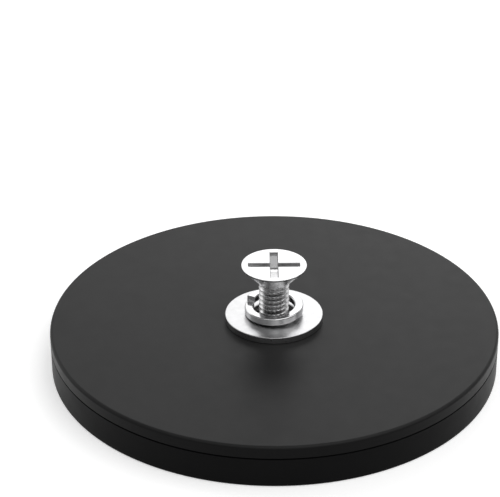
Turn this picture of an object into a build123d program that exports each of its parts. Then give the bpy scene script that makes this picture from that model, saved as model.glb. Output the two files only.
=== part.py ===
from build123d import *

import math
import os

# Rubber-coated disc magnet, 88 mm, with an M6 countersunk screw and two loose washers.
# Millimetres, +Z up. The origin is the centre of the pulling face, which is the flat
# underside, so the magnet stands on the plane z = 0.

# ---- rubber coating ----
body_radius = 44.0
body_height = 8.5
top_edge_round = 0.6
bottom_edge_round = 0.4
cover_depth = 2.55
groove_depth = 0.3
groove_half_width = 0.16
floor_skin = 0.8
top_skin = 1.0

# ---- steel backing plate ----
plate_radius = 40.0
plate_thickness = 2.5
plate_edge_break = 0.3

# ---- neodymium discs ----
magnet_radius = 6.0
magnet_edge_round = 0.3
magnet_rings = [(12, 32.5), (6, 17.5)]
fit_gap = 0.03

# ---- M6 thread ----
pitch = 1.0
screw_crest_radius = 2.98
screw_root_radius = 2.40
nut_crest_radius = 2.50
nut_root_radius = 3.06
screw_crest_half = pitch / 16
nut_crest_half = pitch / 8
ridge_embed = 0.1
ridge_run_in = 1.1
thread_start_angle = 180.0

# ---- blind threaded bush ----
bush_radius = 5.0
bush_floor = 1.0
bush_hole_floor = 1.9
flange_radius = 7.6
flange_thickness = 1.5
bush_top_gap = 0.05
mouth_chamfer = 0.35
blank_allowance = 2.0

# ---- flat washer ----
flat_outer_radius = 9.6
flat_hole_radius = 4.3
flat_thickness = 1.4
flat_edge_round = 0.12

# ---- split lock washer ----
lock_outer_radius = 5.75
lock_inner_radius = 4.1
lock_thickness = 1.5
lock_rise = 1.1
lock_edge_round = 0.22
lock_split_angle = 158.0
lock_split_gap = 5.0
lock_rest_gap = 0.02

# ---- countersunk screw ----
screw_length = 16.0
head_top = body_height + 12.2
head_radius = 6.35
head_rim = 0.3
head_edge_round = 0.08
tip_chamfer = 0.6
recess_half_length = 5.1
recess_half_width = 0.85
recess_end_depth = 0.45
recess_wing_depth = 1.1
recess_pit_depth = 1.3

# ---- heights worked out from the sizes above ----
parting_z = body_height - cover_depth
plate_top = body_height - top_skin
plate_bottom = plate_top - plate_thickness
magnet_bottom = floor_skin + fit_gap
flat_top = body_height + flat_thickness
lock_bottom = flat_top + lock_rest_gap
screw_tip = head_top - screw_length
cone_top = head_top - head_rim
cone_bottom = cone_top - (head_radius - screw_root_radius)
thread_flank = math.tan(math.radians(30))

magnet_places = [
    (radius * math.cos(2 * math.pi * i / count), radius * math.sin(2 * math.pi * i / count))
    for count, radius in magnet_rings
    for i in range(count)
]

os.makedirs("parts", exist_ok=True)


def save(built, name):
    """Label a finished piece and write it as its own STEP file."""
    built.part.label = name
    export_step(built.part, f"parts/{name}.step")


# ---- rubber base: the lower jacket, with a pocket for every disc and for the bush ----
with BuildPart() as rubber_base:
    with BuildSketch(Plane.XY):
        Circle(body_radius)
    extrude(amount=parting_z)
    fillet(rubber_base.edges().group_by(Axis.Z)[0], bottom_edge_round)
    chamfer(rubber_base.edges().group_by(Axis.Z)[-1], groove_half_width, groove_depth)
    with BuildSketch(Plane.XY.offset(parting_z)):
        Circle(plate_radius)
    extrude(amount=plate_bottom - parting_z, mode=Mode.SUBTRACT)
    with BuildSketch(Plane.XY.offset(plate_bottom)):
        with Locations(*magnet_places):
            Circle(magnet_radius + fit_gap)
    extrude(amount=floor_skin - plate_bottom, mode=Mode.SUBTRACT)
    with BuildSketch(Plane.XY.offset(plate_bottom)):
        Circle(flange_radius + fit_gap)
    extrude(amount=-flange_thickness, mode=Mode.SUBTRACT)
    with BuildSketch(Plane.XY.offset(plate_bottom)):
        Circle(bush_radius + fit_gap)
    extrude(amount=bush_floor - plate_bottom, mode=Mode.SUBTRACT)
save(rubber_base, "rubber_base")

# ---- rubber cover: the upper cap, which meets the base at the fine groove in the side ----
with BuildPart() as rubber_cover:
    with BuildSketch(Plane.XY.offset(parting_z)):
        Circle(body_radius)
    extrude(amount=cover_depth)
    fillet(rubber_cover.edges().group_by(Axis.Z)[-1], top_edge_round)
    chamfer(rubber_cover.edges().group_by(Axis.Z)[0], groove_half_width, groove_depth)
    with BuildSketch(Plane.XY.offset(parting_z)):
        Circle(plate_radius)
    extrude(amount=plate_top - parting_z, mode=Mode.SUBTRACT)
    with BuildSketch(Plane.XY.offset(body_height)):
        Circle(bush_radius + fit_gap)
    extrude(amount=-top_skin, mode=Mode.SUBTRACT)
save(rubber_cover, "rubber_cover")

# ---- backing plate: the steel disc that closes the magnetic circuit ----
with BuildPart() as backing_plate:
    with BuildSketch(Plane.XY.offset(plate_bottom)):
        Circle(plate_radius - fit_gap)
        Circle(bush_radius + fit_gap, mode=Mode.SUBTRACT)
    extrude(amount=plate_thickness)
    rim_edges = backing_plate.edges().filter_by(GeomType.CIRCLE).sort_by(SortBy.RADIUS)[-2:]
    chamfer(rim_edges, plate_edge_break)
save(backing_plate, "backing_plate")

# ---- neodymium discs: one node each, standing on the skin under the plate ----
for index, (magnet_x, magnet_y) in enumerate(magnet_places, start=1):
    with BuildPart() as magnet:
        with BuildSketch(Plane.XY.offset(magnet_bottom)):
            with Locations((magnet_x, magnet_y)):
                Circle(magnet_radius)
        extrude(amount=plate_bottom - magnet_bottom)
        fillet(magnet.edges().filter_by(GeomType.CIRCLE), magnet_edge_round)
    save(magnet, f"magnet_disc_{index:02d}")

# ---- female thread: the ridge that winds up the bush wall, half a pitch from the screw's ----
nut_start = screw_tip - 1.5 * pitch
nut_ridge_height = body_height - nut_start + pitch / 2
nut_foot_half = nut_crest_half + (nut_root_radius + ridge_embed - nut_crest_radius) * thread_flank
with BuildPart() as nut_ridge:
    with BuildLine() as nut_helix:
        Helix(pitch, nut_ridge_height, nut_root_radius, center=(0, 0, nut_start))
    with BuildSketch(Plane.XZ):
        with BuildLine():
            Polyline(
                (nut_root_radius + ridge_embed, nut_start - nut_foot_half),
                (nut_crest_radius, nut_start - nut_crest_half),
                (nut_crest_radius, nut_start + nut_crest_half),
                (nut_root_radius + ridge_embed, nut_start + nut_foot_half),
                close=True,
            )
        make_face()
    sweep(path=nut_helix.line, is_frenet=True)

# ---- threaded bush: blind steel nut, whose flange pulls up against the plate ----
bush_top = body_height - bush_top_gap
with BuildPart() as threaded_bush:
    with BuildSketch(Plane.XZ):
        with BuildLine():
            Polyline(
                (0, bush_floor),
                (bush_radius, bush_floor),
                (bush_radius, plate_bottom - flange_thickness),
                (flange_radius, plate_bottom - flange_thickness),
                (flange_radius, plate_bottom),
                (bush_radius, plate_bottom),
                (bush_radius, bush_top + blank_allowance),
                (nut_root_radius, bush_top + blank_allowance),
                (nut_root_radius, bush_hole_floor),
                (0, bush_hole_floor),
                close=True,
            )
        make_face()
    revolve(axis=Axis.Z)
    add(nut_ridge.part.rotate(Axis.Z, thread_start_angle))
    # The blank is faced off at its top and its mouth is countersunk through the thread.
    with BuildSketch(Plane.XZ):
        with BuildLine():
            Polyline(
                (0, bush_top - mouth_chamfer - nut_root_radius),
                (nut_root_radius + mouth_chamfer, bush_top),
                (flange_radius, bush_top),
                (flange_radius, bush_top + 2 * blank_allowance),
                (0, bush_top + 2 * blank_allowance),
                close=True,
            )
        make_face()
    revolve(axis=Axis.Z, mode=Mode.SUBTRACT)
save(threaded_bush, "threaded_bush")

# ---- flat washer: lies loose on the rubber, edges rolled over by the punch ----
with BuildPart() as flat_washer:
    with BuildSketch(Plane.XY.offset(body_height)):
        Circle(flat_outer_radius)
        Circle(flat_hole_radius, mode=Mode.SUBTRACT)
    extrude(amount=flat_thickness)
    fillet(flat_washer.edges().group_by(Axis.Z)[-1], flat_edge_round)
save(flat_washer, "flat_washer")

# ---- lock washer: one turn of rounded bar, cut through, its far end sprung up ----
lock_mean_radius = (lock_outer_radius + lock_inner_radius) / 2
lock_turn = (360 - lock_split_gap) / 360
lock_middle = lock_bottom + lock_thickness / 2
with BuildPart() as lock_washer:
    with BuildLine() as lock_helix:
        Helix(lock_rise / lock_turn, lock_rise, lock_mean_radius, center=(0, 0, lock_middle))
    with BuildSketch(Plane.XZ):
        with Locations((lock_mean_radius, lock_middle)):
            RectangleRounded(lock_outer_radius - lock_inner_radius, lock_thickness, lock_edge_round)
    sweep(path=lock_helix.line, is_frenet=True)
lock_washer.part = lock_washer.part.rotate(Axis.Z, lock_split_angle + lock_split_gap / 2)
save(lock_washer, "lock_washer")

# ---- male thread: the ridge that winds up the shank and ends buried in the head's cone ----
ridge_start = screw_tip - pitch
ridge_height = cone_bottom + ridge_run_in - ridge_start
ridge_foot = screw_root_radius - ridge_embed
ridge_foot_half = screw_crest_half + (screw_crest_radius - ridge_foot) * thread_flank
with BuildPart() as screw_ridge:
    with BuildLine() as screw_helix:
        Helix(pitch, ridge_height, ridge_foot, center=(0, 0, ridge_start))
    with BuildSketch(Plane.XZ):
        with BuildLine():
            Polyline(
                (ridge_foot, ridge_start - ridge_foot_half),
                (screw_crest_radius, ridge_start - screw_crest_half),
                (screw_crest_radius, ridge_start + screw_crest_half),
                (ridge_foot, ridge_start + ridge_foot_half),
                close=True,
            )
        make_face()
    sweep(path=screw_helix.line, is_frenet=True)

# ---- countersunk screw: 90 degree head with a cross recess, threaded to the head ----
with BuildPart() as countersunk_screw:
    with BuildSketch(Plane.XZ):
        with BuildLine():
            Polyline(
                (0, screw_tip - blank_allowance),
                (screw_root_radius, screw_tip - blank_allowance),
                (screw_root_radius, cone_bottom),
                (head_radius, cone_top),
                (head_radius, head_top),
                (0, head_top),
                close=True,
            )
        make_face()
    revolve(axis=Axis.Z)
    fillet(countersunk_screw.edges().group_by(Axis.Z)[-1], head_edge_round)
    add(screw_ridge.part.rotate(Axis.Z, thread_start_angle))
    # The blank is cut to length and its tip is chamfered through the thread.
    with BuildSketch(Plane.XZ):
        with BuildLine():
            Polyline(
                (0, screw_tip - 2 * blank_allowance),
                (head_radius, screw_tip - 2 * blank_allowance),
                (head_radius, screw_tip + head_radius - screw_crest_radius + tip_chamfer),
                (screw_crest_radius - tip_chamfer, screw_tip),
                (0, screw_tip),
                close=True,
            )
        make_face()
    revolve(axis=Axis.Z, mode=Mode.SUBTRACT)
    for slot_plane in (Plane.XZ, Plane.YZ):
        with BuildSketch(slot_plane):
            with BuildLine():
                Polyline(
                    (-recess_half_length, head_top),
                    (-recess_half_length, head_top - recess_end_depth),
                    (-recess_half_width, head_top - recess_wing_depth),
                    (-recess_half_width, head_top - recess_pit_depth),
                    (recess_half_width, head_top - recess_pit_depth),
                    (recess_half_width, head_top - recess_wing_depth),
                    (recess_half_length, head_top - recess_end_depth),
                    (recess_half_length, head_top),
                    close=True,
                )
            make_face()
        extrude(amount=recess_half_width, both=True, mode=Mode.SUBTRACT)
save(countersunk_screw, "countersunk_screw")
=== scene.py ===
import math

import bmesh
import bpy
from mathutils import Matrix, Vector


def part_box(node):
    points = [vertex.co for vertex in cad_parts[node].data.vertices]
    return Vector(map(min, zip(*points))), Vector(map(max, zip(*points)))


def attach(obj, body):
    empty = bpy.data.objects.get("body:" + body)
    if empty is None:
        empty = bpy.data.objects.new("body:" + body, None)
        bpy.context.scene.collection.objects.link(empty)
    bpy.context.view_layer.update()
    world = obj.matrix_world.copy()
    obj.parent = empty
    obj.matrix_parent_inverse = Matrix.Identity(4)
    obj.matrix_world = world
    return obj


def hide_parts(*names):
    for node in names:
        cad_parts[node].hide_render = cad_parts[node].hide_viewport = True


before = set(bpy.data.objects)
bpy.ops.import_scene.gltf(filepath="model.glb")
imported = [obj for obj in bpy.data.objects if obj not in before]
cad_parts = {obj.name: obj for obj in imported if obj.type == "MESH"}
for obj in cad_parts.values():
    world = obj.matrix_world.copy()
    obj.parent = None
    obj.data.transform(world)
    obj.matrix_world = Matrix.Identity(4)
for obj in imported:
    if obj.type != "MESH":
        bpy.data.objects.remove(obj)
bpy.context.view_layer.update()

MM = 0.001

# A rubber-coated disc magnet that stands on its pulling face, with a countersunk screw in the
# thread at its middle and a flat washer and a split lock washer loose round the screw.

# ---------------------------------------------------------------- sizes, in millimetres
# The heights and radii that the CAD nodes already hold are read from their boxes.


def node_box(node):
    """Lowest and highest corner of a CAD node at rest, in millimetres."""
    low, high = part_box(node)
    return Vector(low) / MM, Vector(high) / MM


base_low, _ = node_box("rubber_base")
cover_low, cover_high = node_box("rubber_cover")
plate_low, plate_high = node_box("backing_plate")
bush_low, bush_high = node_box("threaded_bush")
flat_low, flat_high = node_box("flat_washer")
lock_low, lock_high = node_box("lock_washer")
screw_low, screw_high = node_box("countersunk_screw")

BODY_RADIUS = cover_high.x
BODY_TOP = cover_high.z
PARTING = cover_low.z
PLATE_RADIUS = 40.0
PLATE_BOTTOM = plate_low.z
PLATE_TOP = plate_high.z
BUSH_HOLE_RADIUS = 5.03
FLANGE_POCKET_RADIUS = bush_high.x + 0.03
FLANGE_THICKNESS = 1.5
BUSH_FLOOR = bush_low.z
FLOOR_SKIN = 0.8
POCKET_RADIUS = 6.03
TOP_EDGE_ROUND = 0.6
BOTTOM_EDGE_ROUND = 0.4
GROOVE_DEPTH = 0.3
GROOVE_HALF_WIDTH = 0.16

FLAT_RADIUS = flat_high.x
FLAT_HOLE = 4.3
FLAT_TOP_ROUND = 0.12
FLAT_BOTTOM_ROUND = 0.2
LOCK_OUTER = 5.75
LOCK_INNER = 4.1
LOCK_THICKNESS = 1.5
LOCK_SPLIT_ANGLE = 158.0
LOCK_SPLIT_GAP = 5.0
LOCK_EDGE_ROUND = 0.26
LOCK_STEPS = 180

PITCH = 1.0
CREST = 2.98
ROOT = 2.40
CREST_HALF = PITCH / 16
ROOT_SOFTNESS = 0.09
CREST_SOFTNESS = 0.05
THREAD_SEGMENTS = 144
THREAD_ROWS = 20
THREAD_OVERRUN = 0.3
HEAD_RADIUS = screw_high.x
HEAD_RIM = 0.3
HEAD_EDGE_ROUND = 0.06
CONE_RING_DROP = 1.2
THREAD_START_ANGLE = math.pi
TIP_CHAMFER = 0.6
CONE_BLEND = 0.18
RECESS_LENGTH = 5.1
RECESS_WIDTH = 0.85
RECESS_END_DEPTH = 0.45
RECESS_WING_DEPTH = 1.1
RECESS_PIT_DEPTH = 1.3
RECESS_BEVEL = 0.1

ROUND_SEGMENTS = 384
SMALL_SEGMENTS = 192
SHARP_ANGLE = math.radians(32)
FLAT_GUARD = 0.02


# ---------------------------------------------------------------- mesh helpers


def arc(centre, radius, start, end, steps=8):
    """Points of a round edge in a profile, from angle start to end in degrees.

    One more point lies just past each end, on the flat that the round runs into, so that the
    smooth shading of the round doesn't spread over the flat.
    """
    points = []
    for i in range(steps + 1):
        a = math.radians(start + (end - start) * i / steps)
        points.append((centre[0] + radius * math.cos(a), centre[1] + radius * math.sin(a)))
    forward = math.copysign(FLAT_GUARD, end - start)
    first, last = math.radians(start), math.radians(end)
    before = (points[0][0] + forward * math.sin(first), points[0][1] - forward * math.cos(first))
    after = (points[-1][0] - forward * math.sin(last), points[-1][1] + forward * math.cos(last))
    return [before] + points + [after]


def piece(name, bm, material):
    """A finished piece, in metres, smooth but for its real edges."""
    bmesh.ops.remove_doubles(bm, verts=bm.verts, dist=1e-5)
    bmesh.ops.recalc_face_normals(bm, faces=bm.faces)
    mesh = bpy.data.meshes.new(name)
    bm.to_mesh(mesh)
    bm.free()
    mesh.transform(Matrix.Scale(MM, 4))
    for polygon in mesh.polygons:
        polygon.use_smooth = True
    mesh.set_sharp_from_angle(angle=SHARP_ANGLE)
    mesh.materials.append(material)
    made = bpy.data.objects.new(name, mesh)
    bpy.context.scene.collection.objects.link(made)
    return made


def join_rings(bm, rings, segments):
    """Faces between each ring of vertices and the next. A pole is a ring of one vertex."""
    for lower, upper in zip(rings, rings[1:]):
        for i in range(segments):
            j = (i + 1) % segments
            corners = [lower[i % len(lower)], lower[j % len(lower)]]
            corners += [upper[j % len(upper)], upper[i % len(upper)]]
            bm.faces.new(list(dict.fromkeys(corners)))


def lathe(bm, profile, segments, closed=False):
    """Turns a profile of (radius, height) points round Z, and gives its rings.

    A point on the axis becomes a pole.
    """
    rings = []
    for radius, height in profile:
        if radius == 0:
            rings.append([bm.verts.new((0, 0, height))])
            continue
        ring = []
        for i in range(segments):
            a = 2 * math.pi * i / segments
            ring.append(bm.verts.new((radius * math.cos(a), radius * math.sin(a), height)))
        rings.append(ring)
    join_rings(bm, rings + rings[:1] if closed else rings, segments)
    return rings


def rim_edges(bm, ring):
    """The edges that join a closed ring of vertices."""
    return [bm.edges.get((ring[i], ring[(i + 1) % len(ring)])) for i in range(len(ring))]


def pocket(bm, x, y, radius, floor, top, segments=64):
    """The wall and floor of a round blind pocket. Gives the edges of its mouth."""
    mouth, foot = [], []
    for ring, height in ((mouth, top), (foot, floor)):
        for i in range(segments):
            a = 2 * math.pi * i / segments
            ring.append(bm.verts.new((x + radius * math.cos(a), y + radius * math.sin(a), height)))
    for i in range(segments):
        j = (i + 1) % segments
        bm.faces.new((mouth[i], mouth[j], foot[j], foot[i]))
    bm.faces.new(foot)
    return rim_edges(bm, mouth)


# ---------------------------------------------------------------- node-material helpers


class Shader:
    """A small builder for one procedural material, with coordinates in millimetres."""

    def __init__(self, name):
        self.material = bpy.data.materials.new(name)
        self.material.use_nodes = True
        self.tree = self.material.node_tree
        self.tree.nodes.clear()
        self.output = self.node("ShaderNodeOutputMaterial")
        self.surface = self.node("ShaderNodeBsdfPrincipled")
        self.link(self.surface, "BSDF", self.output, "Surface")
        coordinates = self.node("ShaderNodeTexCoord")
        self.place = self.node("ShaderNodeMapping")
        self.place.inputs["Scale"].default_value = (1 / MM, 1 / MM, 1 / MM)
        self.link(coordinates, "Object", self.place, "Vector")

    def node(self, kind, **values):
        made = self.tree.nodes.new(kind)
        for key, value in values.items():
            setattr(made, key, value)
        return made

    def link(self, source, out, target, into):
        self.tree.links.new(source.outputs[out], target.inputs[into])

    def set(self, name, value):
        self.surface.inputs[name].default_value = value

    def stretched(self, scale):
        """Coordinates in millimetres, stretched by a factor along each axis."""
        mapping = self.node("ShaderNodeMapping")
        mapping.inputs["Scale"].default_value = scale
        self.link(self.place, "Vector", mapping, "Vector")
        return mapping

    def polar(self, around, along):
        """Coordinates (radius, angle x around, height x along), for marks that run round the axis."""
        split = self.node("ShaderNodeSeparateXYZ")
        self.link(self.place, "Vector", split, "Vector")
        flat = self.node("ShaderNodeCombineXYZ")
        self.link(split, "X", flat, "X")
        self.link(split, "Y", flat, "Y")
        radius = self.node("ShaderNodeVectorMath", operation="LENGTH")
        self.link(flat, "Vector", radius, 0)
        angle = self.node("ShaderNodeMath", operation="ARCTAN2")
        self.link(split, "Y", angle, 0)
        self.link(split, "X", angle, 1)
        turned = self.node("ShaderNodeMath", operation="MULTIPLY")
        turned.inputs[1].default_value = around
        self.link(angle, "Value", turned, 0)
        raised = self.node("ShaderNodeMath", operation="MULTIPLY")
        raised.inputs[1].default_value = along
        self.link(split, "Z", raised, 0)
        joined = self.node("ShaderNodeCombineXYZ")
        self.tree.links.new(radius.outputs["Value"], joined.inputs["X"])
        self.link(turned, "Value", joined, "Y")
        self.link(raised, "Value", joined, "Z")
        return joined, radius, split

    def noise(self, coordinates, scale, detail=4.0, roughness=0.55):
        made = self.node("ShaderNodeTexNoise")
        made.inputs["Scale"].default_value = scale
        made.inputs["Detail"].default_value = detail
        made.inputs["Roughness"].default_value = roughness
        self.link(coordinates, "Vector", made, "Vector")
        return made

    def ramp(self, source, out, stops, into=None):
        """A colour or grey ramp from a value. Stops are (position, grey or colour)."""
        made = self.node("ShaderNodeValToRGB")
        elements = made.color_ramp.elements
        while len(elements) < len(stops):
            elements.new(0.5)
        for element, (position, colour) in zip(elements, stops):
            element.position = position
            if isinstance(colour, (int, float)):
                colour = (colour, colour, colour)
            element.color = (*colour, 1)
        self.link(source, out, made, "Fac")
        if into:
            self.link(made, "Color", self.surface, into)
        return made

    def bump(self, height, out, strength, distance, after=None):
        """A bump from a height texture, its distance in millimetres, on top of an earlier bump."""
        made = self.node("ShaderNodeBump")
        made.inputs["Strength"].default_value = strength
        made.inputs["Distance"].default_value = distance * MM
        self.link(height, out, made, "Height")
        if after:
            self.link(after, "Normal", made, "Normal")
        self.link(made, "Normal", self.surface, "Normal")
        return made

    def mix(self, factor, out, first, second):
        """One colour output over another, by a factor."""
        made = self.node("ShaderNodeMix", data_type="RGBA")
        self.link(factor, out, made, "Factor")
        self.tree.links.new(first, made.inputs["A"])
        self.tree.links.new(second, made.inputs["B"])
        return made.outputs["Result"]


# ---------------------------------------------------------------- materials


def rubber(name, dark, light, gloss, shine):
    """Satin moulded rubber: mottled near-black, with fine grain and some dust, and painted shade that
    darkens its side wall below the top.
    """
    s = Shader(name)
    s.set("Specular IOR Level", shine)
    split = s.node("ShaderNodeSeparateXYZ")
    s.link(s.place, "Vector", split, "Vector")
    # Painted shade: by height, the side wall and the top edge's round get the darker wall colour, the
    # flat top the paler one.
    top_vs_painted_wall_shade = s.node("ShaderNodeMapRange", interpolation_type="SMOOTHSTEP")
    top_vs_painted_wall_shade.inputs["From Min"].default_value = BODY_TOP - TOP_EDGE_ROUND
    top_vs_painted_wall_shade.inputs["From Max"].default_value = BODY_TOP
    s.link(split, "Z", top_vs_painted_wall_shade, "Value")
    mottle = s.noise(s.place, 0.11, detail=5)
    tone = s.ramp(mottle, "Fac", [(0.3, tuple(c * 0.85 for c in light)), (0.7, light)])
    dust = s.noise(s.place, 2.6, detail=2, roughness=0.4)
    speck = s.ramp(dust, "Fac", [(0.76, 0.0), (0.8, 0.35)])
    pale = s.node("ShaderNodeRGB")
    pale.outputs[0].default_value = (0.035, 0.034, 0.032, 1)
    colour = s.mix(speck, "Color", tone.outputs["Color"], pale.outputs[0])
    # The wall colour is the rubber's colour with painted shade.
    wall = s.ramp(mottle, "Fac", [(0.3, tuple(c * 0.85 for c in dark)), (0.7, dark)])
    colour = s.mix(top_vs_painted_wall_shade, "Result", wall.outputs["Color"], colour)
    s.tree.links.new(colour, s.surface.inputs["Base Color"])
    sheen = s.noise(s.place, 0.35, detail=3)
    s.ramp(sheen, "Fac", [(0.3, gloss), (0.7, gloss + 0.05)], "Roughness")
    grain = s.noise(s.place, 5.5, detail=3, roughness=0.6)
    first = s.bump(grain, "Fac", 0.12, 0.012)
    waves = s.noise(s.place, 0.22, detail=1)
    s.bump(waves, "Fac", 0.25, 0.02, after=first)
    return s.material


def plated(name, marks, bright=(0.56, 0.56, 0.565), rough=(0.20, 0.28), painted_root_shade=None):
    """Bright zinc-nickel plate over turned or stamped steel. marks picks how the tool marks run.

    Its last argument paints shade, a darker colour, into the roots of a thread. It is the radius
    where it is full, the radius where it ends, how much it covers, and the height up to which it
    goes.
    """
    s = Shader(name)
    s.set("Metallic", 1.0)
    around, radius, split = s.polar(1.2, 1.0)
    if marks == "turned":
        lines = s.noise(around, 9.0, detail=3, roughness=0.5)
    elif marks == "rolled":
        lines = s.noise(s.stretched((0.35, 7.0, 1.0)), 1.6, detail=4, roughness=0.6)
    else:
        lines = s.noise(around, 14.0, detail=2, roughness=0.45)
    bloom = s.noise(s.place, 0.7, detail=4)
    dull = tuple(c * 0.93 for c in bright)
    tone = s.ramp(bloom, "Fac", [(0.35, dull), (0.62, bright)])
    colour = tone.outputs["Color"]
    # Painted shade in the thread's roots: a darker colour, full inside the smaller radius and gone
    # past the larger.
    if painted_root_shade:
        low, high, shade, ceiling = painted_root_shade
        depth = s.node("ShaderNodeMapRange")
        depth.inputs["From Min"].default_value = low
        depth.inputs["From Max"].default_value = high
        depth.inputs["To Min"].default_value = shade
        depth.inputs["To Max"].default_value = 0.0
        s.link(radius, "Value", depth, "Value")
        below = s.node("ShaderNodeMath", operation="LESS_THAN")
        below.inputs[1].default_value = ceiling
        s.link(split, "Z", below, 0)
        covered = s.node("ShaderNodeMath", operation="MULTIPLY")
        s.link(depth, "Result", covered, 0)
        s.link(below, "Value", covered, 1)
        # The colour of the painted shade in the roots.
        root_shade_colour = s.node("ShaderNodeRGB")
        root_shade_colour.outputs[0].default_value = (0.14, 0.135, 0.13, 1)
        colour = s.mix(covered, "Value", colour, root_shade_colour.outputs[0])
    s.tree.links.new(colour, s.surface.inputs["Base Color"])
    s.ramp(lines, "Fac", [(0.3, rough[0]), (0.7, rough[1])], "Roughness")
    first = s.bump(lines, "Fac", 0.25, 0.006)
    dents = s.noise(s.place, 1.7, detail=2)
    s.bump(dents, "Fac", 0.3, 0.005, after=first)
    return s.material


def hidden_metal(name, dark, light, scale):
    """Plain steel or nickel for the pieces inside, brushed and a little cloudy."""
    s = Shader(name)
    s.set("Metallic", 1.0)
    cloud = s.noise(s.place, scale, detail=5)
    s.ramp(cloud, "Fac", [(0.3, dark), (0.7, light)], "Base Color")
    brush = s.noise(s.stretched((0.3, 6.0, 1.0)), 2.0, detail=3)
    s.ramp(brush, "Fac", [(0.3, 0.28), (0.7, 0.45)], "Roughness")
    s.bump(brush, "Fac", 0.3, 0.01)
    return s.material


# The cover's dark wall colour against its paler top is painted shade.
RUBBER_COVER = rubber(
    "rubber_cover_satin",
    dark=(0.0010, 0.0010, 0.0011),
    light=(0.0195, 0.0195, 0.0196),
    gloss=0.36,
    shine=0.085,
)
RUBBER_BASE = rubber(
    "rubber_base_satin",
    dark=(0.0030, 0.0030, 0.0031),
    light=(0.0042, 0.0042, 0.0043),
    gloss=0.38,
    shine=0.045,
)
# The screw's thread roots get painted shade.
SCREW_METAL = plated("plated_screw", "turned", painted_root_shade=(2.42, 2.75, 0.5, 18.0))
FLAT_METAL = plated("plated_flat_washer", "rolled", bright=(0.50, 0.50, 0.505), rough=(0.26, 0.34))
LOCK_METAL = plated("plated_lock_washer", "drawn", rough=(0.12, 0.18))
# A darker copy of the screw's metal for the cross recess's bevels and walls, as painted shade.
RECESS_SHADE_METAL = hidden_metal("recess_painted_shade", (0.30, 0.30, 0.30), (0.42, 0.42, 0.42), 1.2)
BUSH_METAL = hidden_metal("bush_steel", (0.22, 0.22, 0.22), (0.42, 0.41, 0.40), 0.9)
PLATE_METAL = hidden_metal("plate_steel", (0.34, 0.34, 0.35), (0.55, 0.55, 0.56), 0.12)
MAGNET_METAL = hidden_metal("magnet_nickel", (0.50, 0.49, 0.46), (0.70, 0.69, 0.66), 0.5)


# ---------------------------------------------------------------- rubber coating


def groove_lip(z, side):
    """The chamfered lip of the side groove, from the wall in to the parting plane."""
    return [(BODY_RADIUS, z + side * GROOVE_HALF_WIDTH), (BODY_RADIUS - GROOVE_DEPTH, z)]


def rubber_cover():
    """Upper cap, from the groove in the side up over the top, with a round hole for the bush."""
    inner = TOP_EDGE_ROUND
    profile = [(BUSH_HOLE_RADIUS, PLATE_TOP), (BUSH_HOLE_RADIUS, BODY_TOP)]
    for step in (0.25, 0.5, 0.75):
        profile.append((BUSH_HOLE_RADIUS + (BODY_RADIUS - inner - BUSH_HOLE_RADIUS) * step, BODY_TOP))
    profile += arc((BODY_RADIUS - inner, BODY_TOP - inner), inner, 90, 0, 12)
    profile += groove_lip(PARTING, 1)
    profile += [(PLATE_RADIUS, PARTING), (PLATE_RADIUS, PLATE_TOP)]
    bm = bmesh.new()
    lathe(bm, profile, ROUND_SEGMENTS, closed=True)
    made = piece("rubber_cover_shell", bm, RUBBER_COVER)
    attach(made, "magnet_body")
    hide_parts("rubber_cover")


def rubber_base():
    """Lower jacket: a seat for the plate, a well for the bush and a pocket for every disc."""
    low = BOTTOM_EDGE_ROUND
    flange_floor = PLATE_BOTTOM - FLANGE_THICKNESS
    well = [(0, BUSH_FLOOR), (BUSH_HOLE_RADIUS, BUSH_FLOOR), (BUSH_HOLE_RADIUS, flange_floor)]
    well += [(FLANGE_POCKET_RADIUS, flange_floor), (FLANGE_POCKET_RADIUS, PLATE_BOTTOM)]
    jacket = [(PLATE_RADIUS, PLATE_BOTTOM), (PLATE_RADIUS, PARTING)]
    jacket += groove_lip(PARTING, -1)[::-1]
    jacket += arc((BODY_RADIUS - low, base_low.z + low), low, 0, -90, 6)
    jacket += [(BODY_RADIUS * 0.6, base_low.z), (BODY_RADIUS * 0.3, base_low.z), (0, base_low.z)]
    bm = bmesh.new()
    well_mouth = lathe(bm, well, ROUND_SEGMENTS)[-1]
    seat_edge = lathe(bm, jacket, ROUND_SEGMENTS)[0]
    loops = rim_edges(bm, well_mouth) + rim_edges(bm, seat_edge)
    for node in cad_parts:
        if node.startswith("magnet_disc"):
            low_corner, high_corner = node_box(node)
            middle = (low_corner + high_corner) / 2
            loops += pocket(bm, middle.x, middle.y, POCKET_RADIUS, FLOOR_SKIN, PLATE_BOTTOM)
    bmesh.ops.triangle_fill(bm, edges=loops, use_beauty=True)
    made = piece("rubber_base_shell", bm, RUBBER_BASE)
    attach(made, "magnet_body")
    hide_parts("rubber_base")


# ---------------------------------------------------------------- flat washer


def flat_washer():
    """Flat ring, its upper edges sharper than its lower ones."""
    bottom, top = flat_low.z, flat_high.z
    upper, lower = FLAT_TOP_ROUND, FLAT_BOTTOM_ROUND
    profile = arc((FLAT_HOLE + lower, bottom + lower), lower, 270, 180, 4)
    profile += arc((FLAT_HOLE + upper, top - upper), upper, 180, 90, 6)
    profile += arc((FLAT_RADIUS - upper, top - upper), upper, 90, 0, 6)
    profile += arc((FLAT_RADIUS - lower, bottom + lower), lower, 0, -90, 6)
    bm = bmesh.new()
    lathe(bm, profile, SMALL_SEGMENTS, closed=True)
    made = piece("flat_washer_disc", bm, FLAT_METAL)
    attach(made, "washer")
    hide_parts("flat_washer")


# ---------------------------------------------------------------- split lock washer


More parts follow.
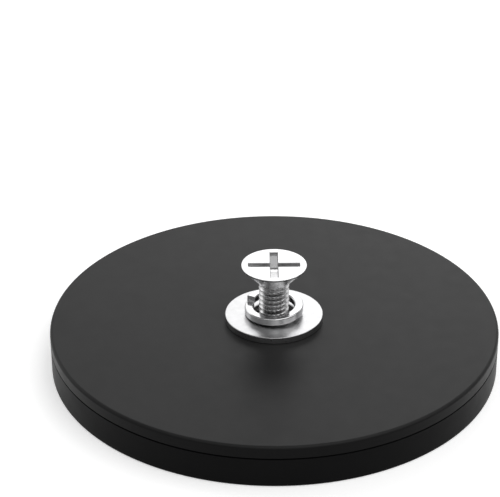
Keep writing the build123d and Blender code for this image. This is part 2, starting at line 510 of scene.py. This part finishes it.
def lock_washer():
    """Rounded bar wound one turn, its ends cut square and sprung apart."""
    half_width = (LOCK_OUTER - LOCK_INNER) / 2
    mean = (LOCK_OUTER + LOCK_INNER) / 2
    half_height = LOCK_THICKNESS / 2
    corner = LOCK_EDGE_ROUND
    section = []
    for x, z, start in ((1, 1, 0), (-1, 1, 90), (-1, -1, 180), (1, -1, 270)):
        centre = (x * (half_width - corner), z * (half_height - corner))
        section += arc(centre, corner, start, start + 90, 5)
    rise = lock_high.z - lock_low.z - LOCK_THICKNESS
    bm = bmesh.new()
    rings = []
    for i in range(LOCK_STEPS + 1):
        part = i / LOCK_STEPS
        a = math.radians(LOCK_SPLIT_ANGLE + LOCK_SPLIT_GAP / 2 + (360 - LOCK_SPLIT_GAP) * part)
        middle = lock_low.z + half_height + rise * part
        ring = []
        for x, z in section:
            radius = mean + x
            ring.append(bm.verts.new((radius * math.cos(a), radius * math.sin(a), middle + z)))
        rings.append(ring)
    count = len(section)
    for first, second in zip(rings, rings[1:]):
        for k in range(count):
            n = (k + 1) % count
            bm.faces.new((first[k], first[n], second[n], second[k]))
    bm.faces.new(rings[0])
    bm.faces.new(rings[-1][::-1])
    made = piece("lock_washer_ring", bm, LOCK_METAL)
    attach(made, "lock_ring")
    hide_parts("lock_washer")


# ---------------------------------------------------------------- countersunk screw


def thread_radius(phase):
    """Radius of the thread, rounded at crest and root.

    The phase runs from -0.5 to 0.5 of a pitch, and is 0 on the crest.
    """
    flank = math.tan(math.radians(30))
    distance = abs(phase) * PITCH
    sharp = CREST - max(0.0, distance - CREST_HALF) / flank
    depth = CREST - ROOT
    level = (sharp - ROOT) / depth
    level = 0.5 * (level + math.hypot(level, ROOT_SOFTNESS))
    level = 1 - 0.5 * ((1 - level) + math.hypot(1 - level, CREST_SOFTNESS))
    return ROOT + depth * min(max(level, 0.0), 1.0)


def screw():
    """Threaded shank that blends into the head's cone, and a flat head with a cross recess."""
    tip, top = screw_low.z, screw_high.z
    cone_top = top - HEAD_RIM
    neck = cone_top - (HEAD_RADIUS - CREST)
    threaded = neck + THREAD_OVERRUN - tip
    rows = math.ceil(threaded / PITCH * THREAD_ROWS)
    bm = bmesh.new()
    rings = [[bm.verts.new((0, 0, tip))]]
    for row in range(rows + 1):
        z = tip + threaded * row / rows
        ring = []
        for i in range(THREAD_SEGMENTS):
            a = 2 * math.pi * i / THREAD_SEGMENTS
            turns = (z - tip) / PITCH - (a - THREAD_START_ANGLE) / (2 * math.pi)
            tip_cone = CREST - TIP_CHAMFER + (z - tip)
            radius = min(thread_radius(turns - round(turns)), tip_cone)
            head_cone = HEAD_RADIUS - (cone_top - z)
            if head_cone > ROOT - 1:
                # Whichever is larger, the thread or the cone, with a soft change between them.
                radius = 0.5 * (radius + head_cone + math.hypot(radius - head_cone, CONE_BLEND))
            ring.append(bm.verts.new((radius * math.cos(a), radius * math.sin(a), z)))
        rings.append(ring)
    edge = HEAD_EDGE_ROUND
    outline = [(HEAD_RADIUS - CONE_RING_DROP, cone_top - CONE_RING_DROP), (HEAD_RADIUS, cone_top)]
    outline += arc((HEAD_RADIUS - edge, top - edge), edge, 0, 90, 4)
    for radius, z in outline:
        ring = []
        for i in range(THREAD_SEGMENTS):
            a = 2 * math.pi * i / THREAD_SEGMENTS
            ring.append(bm.verts.new((radius * math.cos(a), radius * math.sin(a), z)))
        rings.append(ring)
    join_rings(bm, rings, THREAD_SEGMENTS)
    cross_recess(bm, rings[-1], top)
    made = piece("countersunk_screw_body", bm, SCREW_METAL)
    # The recess's bevels and walls take the darker metal, painted shade.
    made.data.materials.append(RECESS_SHADE_METAL)
    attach(made, "screw")
    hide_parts("countersunk_screw")


def cross_recess(bm, rim, top):
    """Fills the head's top inside its rim, with a cross of four sloping wings round a pit."""
    w, length, soft = RECESS_WIDTH, RECESS_LENGTH, RECESS_BEVEL
    wing = [
        (length, -w, RECESS_END_DEPTH),
        (length, w, RECESS_END_DEPTH),
        (w, w, RECESS_WING_DEPTH),
    ]
    mouth, lip, floor = [], [], []
    for turn in range(4):
        rotation = Matrix.Rotation(math.pi / 2 * turn, 3, "Z")
        for x, y, depth in wing:
            inner = Vector((x - soft, y - math.copysign(soft, y), top))
            mouth.append(bm.verts.new(rotation @ Vector((x, y, top))))
            lip.append(bm.verts.new(rotation @ (inner - Vector((0, 0, soft)))))
            floor.append(bm.verts.new(rotation @ (inner - Vector((0, 0, depth)))))
    count = len(mouth)
    for k in range(count):
        n = (k + 1) % count
        # Bevels and walls use the second material, the darker metal of painted shade.
        bm.faces.new((mouth[k], mouth[n], lip[n], lip[k])).material_index = 1
        bm.faces.new((lip[k], lip[n], floor[n], floor[k])).material_index = 1
    pit = []
    for turn in range(4):
        corner = Matrix.Rotation(math.pi / 2 * turn, 3, "Z") @ Vector((w - soft, w - soft, 0))
        pit.append(bm.verts.new((corner.x, corner.y, top - RECESS_PIT_DEPTH)))
    # The steps down into the pit also take the darker metal of painted shade.
    for turn in range(4):
        end_a, end_b, inner = (floor[3 * turn + k] for k in range(3))
        before = floor[3 * turn - 1]
        bm.faces.new((end_a, end_b, inner, before))
        bm.faces.new((before, inner, pit[turn], pit[turn - 1])).material_index = 1
    bm.faces.new(pit)
    bmesh.ops.triangle_fill(bm, edges=rim_edges(bm, rim) + rim_edges(bm, mouth), use_beauty=True)


rubber_cover()
rubber_base()
flat_washer()
lock_washer()
screw()

for node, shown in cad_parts.items():
    if node.startswith("magnet_disc"):
        material = MAGNET_METAL
    elif node == "backing_plate":
        material = PLATE_METAL
    elif node == "threaded_bush":
        material = BUSH_METAL
    else:
        continue
    shown.data.materials.clear()
    shown.data.materials.append(material)


# ---------------------------------------------------------------- stage, lights and camera

# Brightness of the room from left to right, from front to back, and from the floor up to the
# ceiling. Each stop is a direction's X, Y or Z and the brightness there.
SIDE_STOPS = (
    (-0.85, 0.75), (-0.6, 0.55), (-0.38, 0.32), (-0.12, 0.62), (0.18, 1.0), (0.4, 0.42), (0.8, 0.36)
)
WALL_STOPS = ((-0.95, 0.46), (-0.5, 0.18), (0.1, 0.26), (0.5, 1.0))
HEIGHT_STOPS = (
    (0.0, 0.5), (0.3, 0.62), (0.46, 0.86), (0.62, 1.0), (0.7, 0.13), (0.84, 0.16), (0.97, 0.4)
)
SKY_STRENGTH = 3.5
FLOOR_HEIGHT = -0.02
FLOOR_HALF_WIDTH = 6.0


def area_light(name, place, aim, size, power):
    """Soft rectangular lamp, its size in metres and its power in watts."""
    data = bpy.data.lights.new(name, "AREA")
    data.shape = "RECTANGLE"
    data.size, data.size_y = size
    data.energy = power
    light = bpy.data.objects.new(name, data)
    light.location = place
    light.rotation_euler = (Vector(aim) - Vector(place)).to_track_quat("-Z", "Y").to_euler()
    bpy.context.scene.collection.objects.link(light)


def floor():
    """White floor just under the pulling face, clear when it is seen from below."""
    half = FLOOR_HALF_WIDTH
    mesh = bpy.data.meshes.new("floor")
    corners = [(-half, -half), (half, -half), (half, half), (-half, half)]
    mesh.from_pydata([(x, y, FLOOR_HEIGHT * MM) for x, y in corners], [], [(0, 1, 2, 3)])
    s = Shader("floor_white")
    s.set("Base Color", (0.88, 0.88, 0.88, 1))
    s.set("Emission Color", (1, 1, 1, 1))
    s.set("Emission Strength", 0.41)
    s.set("Roughness", 0.9)
    s.set("Specular IOR Level", 0.0)
    side = s.node("ShaderNodeNewGeometry")
    clear = s.node("ShaderNodeBsdfTransparent")
    either = s.node("ShaderNodeMixShader")
    s.link(side, "Backfacing", either, 0)
    s.link(s.surface, "BSDF", either, 1)
    s.link(clear, "BSDF", either, 2)
    s.link(either, "Shader", s.output, "Surface")
    mesh.materials.append(s.material)
    made = bpy.data.objects.new("floor", mesh)
    bpy.context.scene.collection.objects.link(made)


def sky():
    """White studio: a bright wall behind, a dim room in front and overhead."""
    world = bpy.data.worlds.new("studio")
    bpy.context.scene.world = world
    world.use_nodes = True
    nodes, links = world.node_tree.nodes, world.node_tree.links
    nodes.clear()
    coordinates = nodes.new("ShaderNodeTexCoord")
    split = nodes.new("ShaderNodeSeparateXYZ")
    links.new(coordinates.outputs["Generated"], split.inputs["Vector"])
    level = None
    for axis, stops in (("X", SIDE_STOPS), ("Y", WALL_STOPS), ("Z", HEIGHT_STOPS)):
        spread = nodes.new("ShaderNodeMapRange")
        spread.inputs["From Min"].default_value = -1.0
        ramp = nodes.new("ShaderNodeValToRGB")
        ramp.color_ramp.interpolation = "EASE"
        while len(ramp.color_ramp.elements) < len(stops):
            ramp.color_ramp.elements.new(0.5)
        for element, (position, grey) in zip(ramp.color_ramp.elements, stops):
            element.position = (position + 1) / 2
            element.color = (grey, grey, grey, 1)
        links.new(split.outputs[axis], spread.inputs["Value"])
        links.new(spread.outputs["Result"], ramp.inputs["Fac"])
        if level:
            product = nodes.new("ShaderNodeMix")
            product.data_type = "RGBA"
            product.blend_type = "MULTIPLY"
            product.inputs["Factor"].default_value = 1.0
            links.new(level, product.inputs["A"])
            links.new(ramp.outputs["Color"], product.inputs["B"])
            level = product.outputs["Result"]
        else:
            level = ramp.outputs["Color"]
    background = nodes.new("ShaderNodeBackground")
    background.inputs["Strength"].default_value = SKY_STRENGTH
    output = nodes.new("ShaderNodeOutputWorld")
    links.new(level, background.inputs["Color"])
    links.new(background.outputs["Background"], output.inputs["Surface"])


def camera():
    """Long lens from the front and above, aimed at the floor behind the object."""
    focal_length = 129.8
    elevation = math.radians(28.74)
    roll = math.radians(-0.327)
    aim = Vector((-4.645, 44.356, 0)) * MM
    distance = 398.4 * MM
    forward = Vector((0, math.cos(elevation), -math.sin(elevation)))
    right = Vector((1, 0, 0))
    up = right.cross(forward)
    side = right * math.cos(roll) + up * math.sin(roll)
    over = up * math.cos(roll) - right * math.sin(roll)
    data = bpy.data.cameras.new("camera")
    data.lens = focal_length
    data.clip_start, data.clip_end = 0.01, 50
    made = bpy.data.objects.new("camera", data)
    turn = Matrix((side, over, -forward)).transposed()
    made.matrix_world = Matrix.Translation(aim - forward * distance) @ turn.to_4x4()
    bpy.context.scene.collection.objects.link(made)
    bpy.context.scene.camera = made


floor()
sky()
area_light("overhead", (0.8, -0.35, 1.2), (0, 0, 0), (1.4, 1.4), 10)
area_light("front", (-0.15, -0.75, 1.3), (0, 0, 0), (1.4, 0.8), 4)
camera()
bpy.context.scene.view_settings.view_transform = "Standard"
